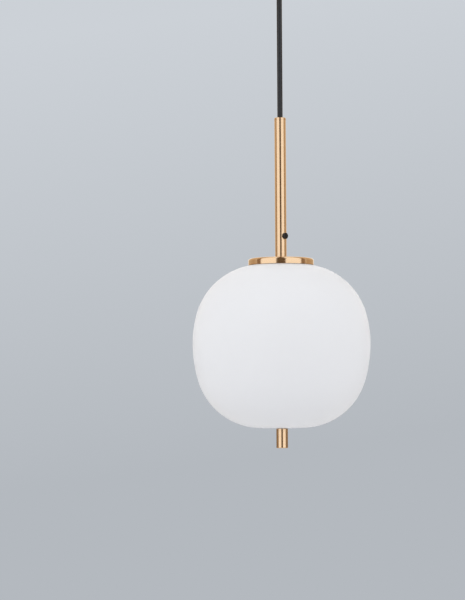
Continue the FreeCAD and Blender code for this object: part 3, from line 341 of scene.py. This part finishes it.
def shade_tree():
    """Blown shade: an outer and an inner wall, each of three tangent arcs above and three below
    the equator."""
    arc_labels = ("Side Arc", "Shoulder Arc", "Crown Arc", "Side End", "Shoulder End")
    labels = (*arc_labels, "Outer Opening", "Inner Opening")
    tree, sizes = new_tree("blown_shade", "Equator Height", "Equator Radius", "Wall",
                           *[half + " " + label for half in ("Upper", "Lower")
                             for label in labels])
    sheet, turn_share, row = unrolled_sheet(tree, sizes)
    # the outer wall goes down, the inner one goes up, and the last row is the first again
    steps = add(tree, MATH, (sizes["Rows"], 1.0), operation="SUBTRACT")[0]
    rows_in_wall = add(tree, MATH, (steps, 0.5), operation="MULTIPLY")[0]
    row_middle = add(tree, MATH, (row, 0.5), operation="ADD")[0]
    walls_done = add(tree, MATH, (row_middle, rows_in_wall), operation="DIVIDE")[0]
    wall = add(tree, MATH, (walls_done,), operation="FLOOR")[0]
    inner = add(tree, MATH, (wall, 1.0, 0.5), operation="COMPARE")[0]
    first_row = add(tree, MATH, (wall, rows_in_wall), operation="MULTIPLY")[0]
    row_in_wall = add(tree, MATH, (row, first_row), operation="SUBTRACT")[0]
    steps_in_wall = add(tree, MATH, (rows_in_wall, 1.0), operation="SUBTRACT")[0]
    along = add(tree, MATH, (row_in_wall, steps_in_wall), operation="DIVIDE")[0]
    outer_foot, inner_foot = [
        add(tree, MATH, (sizes["Lower " + label], -1.0), operation="MULTIPLY")[0]
        for label in ("Outer Opening", "Inner Opening")]
    first_slope = add(tree, MIX, {
        "Factor": inner, "A": sizes["Upper Outer Opening"], "B": inner_foot})[0]
    last_slope = add(tree, MIX, {
        "Factor": inner, "A": outer_foot, "B": sizes["Upper Inner Opening"]})[0]
    slope = add(tree, MIX, {"Factor": along, "A": first_slope, "B": last_slope})[0]
    below = add(tree, MATH, (slope, 0.0), operation="LESS_THAN")[0]
    angle = add(tree, MATH, (slope,), operation="ABSOLUTE")[0]
    side, shoulder, crown, side_end, shoulder_end = [
        add(tree, MIX, {"Factor": below, "A": sizes["Upper " + label],
                        "B": sizes["Lower " + label]})[0] for label in arc_labels]
    # from the side arc's centre, each tighter arc moves the centre along the line where they meet
    out = add(tree, MATH, (sizes["Equator Radius"], side), operation="SUBTRACT")[0]
    up = 0.0
    inset = add(tree, MATH, (inner, sizes["Wall"]), operation="MULTIPLY")[0]
    arc = add(tree, MATH, (side, inset), operation="SUBTRACT")[0]
    for wider, tighter, end in ((side, shoulder, side_end), (shoulder, crown, shoulder_end)):
        past = add(tree, MATH, (angle, end), operation="GREATER_THAN")[0]
        tightening = add(tree, MATH, (wider, tighter), operation="SUBTRACT")[0]
        change = add(tree, MATH, (tightening, past), operation="MULTIPLY")[0]
        cosine = add(tree, MATH, (end,), operation="COSINE")[0]
        sine = add(tree, MATH, (end,), operation="SINE")[0]
        out = add(tree, MATH, (change, cosine, out), operation="MULTIPLY_ADD")[0]
        up = add(tree, MATH, (change, sine, up), operation="MULTIPLY_ADD")[0]
        arc = add(tree, MATH, (arc, change), operation="SUBTRACT")[0]
    cosine = add(tree, MATH, (angle,), operation="COSINE")[0]
    sine = add(tree, MATH, (angle,), operation="SINE")[0]
    radius = add(tree, MATH, (arc, cosine, out), operation="MULTIPLY_ADD")[0]
    rise = add(tree, MATH, (arc, sine, up), operation="MULTIPLY_ADD")[0]
    sign = add(tree, MATH, (slope,), operation="SIGN")[0]
    height = add(tree, MATH, (rise, sign, sizes["Equator Height"]), operation="MULTIPLY_ADD")[0]
    return rolled_up(tree, sheet, turn_share, radius, height, sizes["Material"])


def grown(name, tree, sizes, finish):
    """Plain mesh object that a tree makes from its named sizes."""
    seed = bpy.data.objects.new(name + "_seed", bpy.data.meshes.new(name + "_seed"))
    collection.objects.link(seed)
    modifier = seed.modifiers.new(name, "NODES")
    modifier.node_group = tree
    values = {**sizes, "Material": finish}
    for item in tree.interface.items_tree:
        if item.in_out == "INPUT":
            modifier[item.identifier] = values[item.name]
    evaluated = seed.evaluated_get(bpy.context.evaluated_depsgraph_get())
    mesh = bpy.data.meshes.new_from_object(evaluated)
    mesh.name = name
    bpy.data.objects.remove(seed)
    mesh.shade_smooth()
    mesh.set_sharp_from_angle(angle=sharp_edge)
    made = bpy.data.objects.new(name, mesh)
    collection.objects.link(made)
    return made


def in_place_of(made, node, body):
    """Lets a grown piece stand for a CAD node and move with its body."""
    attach(made, body)
    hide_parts(node)


# ---------------------------------------------------------------- glass shade
glass_wall = 3.2 * MM
shade_radius = 100.0 * MM
mouth_radius = 30.0 * MM
hole_radius = 4.5 * MM
# crown height over the equator, then the radii of the crown, shoulder and side arcs
upper_arcs = (89.5 * MM, 420.0 * MM, 75.5 * MM, 123.0 * MM)
lower_arcs = (95.5 * MM, 600.0 * MM, 73.5 * MM, 149.0 * MM)
shade_columns = 145
wall_rows = 72


def half_sizes(half, arcs, opening):
    """Named sizes of one half of the shade: where its tangent arcs meet and where its opening
    cuts them."""
    height, crown, shoulder, side = arcs
    side_out = shade_radius - side
    crown_up = height - crown
    near = crown - shoulder
    far = side - shoulder
    span = math.hypot(side_out, crown_up)
    along = (near * near - far * far + span * span) / (2 * span)
    off = math.sqrt(near * near - along * along)
    choices = [(along * side_out + sign * off * crown_up,
                crown_up * span - along * crown_up + sign * off * side_out) for sign in (-1, 1)]
    shoulder_out, shoulder_up = (value / span for value in max(choices, key=sum))
    shoulder_end = math.atan2(shoulder_up - crown_up, shoulder_out)
    sizes = {"Side Arc": side, "Shoulder Arc": shoulder, "Crown Arc": crown,
             "Side End": math.atan2(shoulder_up, shoulder_out - side_out),
             "Shoulder End": shoulder_end}
    for label, inset in (("Outer Opening", 0), ("Inner Opening", glass_wall)):
        on_crown = math.acos(opening / (crown - inset))
        on_shoulder = (math.acos((opening - shoulder_out) / (shoulder - inset))
                       if opening > shoulder_out else 0)
        sizes[label] = on_crown if on_crown > shoulder_end else on_shoulder
    return {half + " " + label: value for label, value in sizes.items()}


def rise_of(sizes, half):
    """Height of the outer wall over the equator at its opening."""
    side, shoulder, crown, side_end, shoulder_end, opening = [
        sizes[half + " " + label] for label in
        ("Side Arc", "Shoulder Arc", "Crown Arc", "Side End", "Shoulder End", "Outer Opening")]
    up = (side - shoulder) * math.sin(side_end)
    arc = shoulder
    if opening > shoulder_end:
        up += (shoulder - crown) * math.sin(shoulder_end)
        arc = crown
    return up + arc * math.sin(opening)


shade_sizes = {**half_sizes("Upper", upper_arcs, mouth_radius),
               **half_sizes("Lower", lower_arcs, hole_radius)}
shade_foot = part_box("glass_shade")[0][2]
shade_sizes.update({
    "Equator Height": shade_foot + rise_of(shade_sizes, "Lower"),
    "Equator Radius": shade_radius, "Wall": glass_wall,
    "Columns": shade_columns, "Rows": 2 * wall_rows + 1})
in_place_of(grown("blown_glass_shade", shade_tree(), shade_sizes, finishes["opal_glass"]),
            "glass_shade", "shade")

# ---------------------------------------------------------------- threads
threads = thread_tree()


def threaded(node, body, pitch, depth, roundness, bore, columns, rows_per_turn):
    """Real thread in the place of a CAD node that draws it plain or as rings."""
    low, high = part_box(node)
    length = high[2] - low[2]
    thread_rows = round(length / pitch * rows_per_turn)
    sizes = {"Crest Radius": high[0], "Depth": depth, "Pitch": pitch, "Roundness": roundness,
             "Bore Radius": bore, "Top": high[2], "Length": length,
             "Thread Rows": float(thread_rows), "Columns": columns + 1,
             "Rows": thread_rows + (3 if bore else 2)}
    in_place_of(grown("threaded_" + node, threads, sizes, finishes[slot_of[node]]), node, body)


# M6 and M10 x 1, then the rolled thread of an E14 cap
metric_thread = {"pitch": 1.0 * MM, "depth": 0.61 * MM, "roundness": 0.1,
                 "rows_per_turn": 8}
cap_thread = {"pitch": 2.82 * MM, "depth": 0.6 * MM, "roundness": 1.0, "rows_per_turn": 14}
threaded("stud", "pendant", bore=0.0, columns=32, **metric_thread)
threaded("nipple", "pendant", bore=3.4 * MM, columns=48, **metric_thread)
threaded("bulb_cap", "bulb", bore=5.95 * MM, columns=64, **cap_thread)

# ---------------------------------------------------------------- cord
cord_diameter = 6.0 * MM
cord_points = [(0, 0, -37 * MM), (0, 0, -194 * MM)]
curve = bpy.data.curves.new("cord", "CURVE")
curve.dimensions = "3D"
line = curve.splines.new("NURBS")
line.points.add(len(cord_points) - 1)
for point, place in zip(line.points, cord_points):
    point.co = (*place, 1)
line.order_u = 3
line.use_endpoint_u = True
curve.bevel_depth = cord_diameter / 2
curve.bevel_resolution = 8
curve.use_fill_caps = True
cord = bpy.data.objects.new("cord", curve)
collection.objects.link(cord)
cord.data.materials.append(finishes["black_sheath"])
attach(cord, "cord")
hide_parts("cord_drop", "cord_bend")

# ---------------------------------------------------------------- camera
camera_distance = 2.5
camera_height = -0.5425
sensor_long_side = 36.0
lens = 133.32
aim_left = math.radians(1.2585)
aim_up = math.radians(3.35)
camera_roll = math.radians(-0.31)

camera = bpy.data.objects.new("camera", bpy.data.cameras.new("camera"))
camera.data.sensor_width = sensor_long_side
camera.data.lens = lens
camera.location = (0, -camera_distance, camera_height)
facing = Matrix.Rotation(aim_left, 4, "Z") @ Matrix.Rotation(math.pi / 2 + aim_up, 4, "X")
camera.rotation_euler = (facing @ Matrix.Rotation(camera_roll, 4, "Z")).to_euler()
collection.objects.link(camera)
bpy.context.scene.camera = camera

# ---------------------------------------------------------------- room
# heights and sideways places here are those of a direction one unit long
backdrop_tilt = 0.14        # how much sideways counts beside height
backdrop_foot = -0.01
backdrop_top = 0.19
# what metal mirrors, by bearing: 0 towards the camera, 1 behind the lamp. Dark, then a softbox on
# each side, a dark gap, and the backdrop
softbox_start = 0.090
softbox_blur = 0.005
mirror_stops = [(0.0, "#5f503e"), (softbox_start - softbox_blur, "#5f503e"),
                (softbox_start + softbox_blur, "#ffffff"), (0.41, "#ffffff"),
                (0.43, "#987f65"), (0.51, "#987f65"), (0.53, "#deceb9"), (0.60, "#c5ad8e"),
                (0.86, "#ccba9d"), (0.93, "#fbf6ed"), (1.0, "#ffffff")]
mirror_strength = 1.22
# beyond the softboxes, a darker belt whose middle is a little under the horizon
belt_start = 0.42
belt_under = 0.14
belt_half_core = 0.14
belt_half_width = 0.22
belt_share = 0.85
belt_colour = "#54473a"
# the plain light from all round, for everything but reflections
room_colour = "#f6f7fa"
room_strength = 0.935

world = bpy.data.worlds.new("studio")
bpy.context.scene.world = world
world.use_nodes = True
tree = world.node_tree
tree.nodes.clear()
way = add(tree, "ShaderNodeSeparateXYZ", (add(tree, "ShaderNodeTexCoord")["Generated"],))
# the backdrop that the camera sees: pale, a little darker downwards and to the right
sideways = add(tree, MATH, (way["X"], backdrop_tilt), operation="MULTIPLY")[0]
slope = add(tree, MATH, (way["Z"], sideways), operation="SUBTRACT")[0]
rise = add(tree, RANGE, {
    "Value": slope, "From Min": backdrop_foot, "From Max": backdrop_top})["Result"]
backdrop = add(tree, MIX, {"Factor": rise, "A": linear("#b4b9bf"), "B": linear("#ccd1d7")},
               data_type="RGBA")[2]
seen = add(tree, "ShaderNodeBackground", {"Color": backdrop})[0]
# the softboxes and gaps that metal mirrors
forward = add(tree, MATH, (way["Y"], -1.0), operation="MULTIPLY")[0]
turned = add(tree, MATH, (way["X"], forward), operation="ARCTAN2")[0]
bearing = add(tree, MATH, (turned,), operation="ABSOLUTE")[0]
bearing_share = add(tree, MATH, (bearing, math.pi), operation="DIVIDE")[0]
mirror_band = add(tree, "ShaderNodeValToRGB", {"Fac": bearing_share})["Color"]
band = mirror_band.node.color_ramp.elements
for element, (position, code) in zip((band[0], band[1]), (mirror_stops[0], mirror_stops[-1])):
    element.position = position
    element.color = linear(code)
for position, code in mirror_stops[1:-1]:
    band.new(position).color = linear(code)
under = add(tree, MATH, (way["Z"], belt_under), operation="ADD")[0]
off_middle = add(tree, MATH, (under,), operation="ABSOLUTE")[0]
low = add(tree, RANGE, {"Value": off_middle, "From Min": belt_half_core,
                        "From Max": belt_half_width, "To Min": belt_share,
                        "To Max": 0.0})["Result"]
aside = add(tree, MATH, (bearing, belt_start * math.pi), operation="GREATER_THAN")[0]
dim = add(tree, MATH, (low, aside), operation="MULTIPLY")[0]
room = add(tree, MIX, {"Factor": dim, "A": mirror_band, "B": linear(belt_colour)},
           data_type="RGBA")[2]
mirrored = add(tree, "ShaderNodeBackground", {"Color": room, "Strength": mirror_strength})[0]
lit = add(tree, "ShaderNodeBackground", {
    "Color": linear(room_colour), "Strength": room_strength})[0]
rays = add(tree, "ShaderNodeLightPath")
ambient = add(tree, "ShaderNodeMixShader", (rays["Is Glossy Ray"], lit, mirrored))[0]
clear = add(tree, MATH, (rays["Is Camera Ray"], rays["Is Transmission Ray"]),
            operation="MAXIMUM")[0]
whole = add(tree, "ShaderNodeMixShader", (clear, ambient, seen))[0]
add(tree, "ShaderNodeOutputWorld", {"Surface": whole})

# ---------------------------------------------------------------- softboxes
lamp_middle = Vector((0, 0, -0.4))
softbox_aside = 2.4
softbox_forward = 1.6
softbox_up = 0.4
softbox_size = (1.6, 2.4)


def softbox(name, side, power):
    """Large soft lamp aimed at the middle of the object, which neither the camera nor metal
    sees."""
    light = bpy.data.lights.new(name, "AREA")
    light.shape = "RECTANGLE"
    light.size, light.size_y = softbox_size
    light.energy = power
    place = Vector((side * softbox_aside, -softbox_forward, softbox_up))
    made = bpy.data.objects.new(name, light)
    made.location = place
    made.rotation_euler = (lamp_middle - place).to_track_quat("-Z", "Y").to_euler()
    made.visible_camera = False
    made.visible_glossy = False
    collection.objects.link(made)


softbox("softbox_left", side=-1, power=12)
softbox("softbox_right", side=1, power=9)

# ---------------------------------------------------------------- floor
floor_height = -3.4
floor_reach = 20.0
paint_patch = 0.2


def painted(tree):
    """Pale matt paint, which the camera sees as grey as the backdrop, also through a clear
    piece."""
    patches = add(tree, "ShaderNodeTexNoise", {
        "Vector": object_place(tree), "Scale": 1 / paint_patch, "Detail": 2.0})["Fac"]
    paint = add(tree, MIX, {"Factor": patches, "A": linear("#f0f1f3"), "B": linear("#f4f5f6")},
                data_type="RGBA")[2]
    rays = add(tree, "ShaderNodeLightPath")
    shown = add(tree, MATH, (rays["Is Camera Ray"], rays["Is Transmission Ray"]),
                operation="MAXIMUM")[0]
    return {"Base Color": add(tree, MIX, {"Factor": shown, "A": paint, "B": linear("#bbc0c6")},
                              data_type="RGBA")[2]}


corners = [(x * floor_reach, y * floor_reach, floor_height)
           for x, y in ((-1, -1), (1, -1), (1, 1), (-1, 1))]
floor_mesh = bpy.data.meshes.new("floor")
floor_mesh.from_pydata(corners, [], [(0, 1, 2, 3)])
floor = bpy.data.objects.new("floor", floor_mesh)
collection.objects.link(floor)
floor.data.materials.append(material("painted_floor", {"Roughness": 0.8}, painted))
floor.visible_glossy = False        # metal mirrors the softboxes and gaps all the way down

bpy.context.scene.view_settings.view_transform = "Standard"
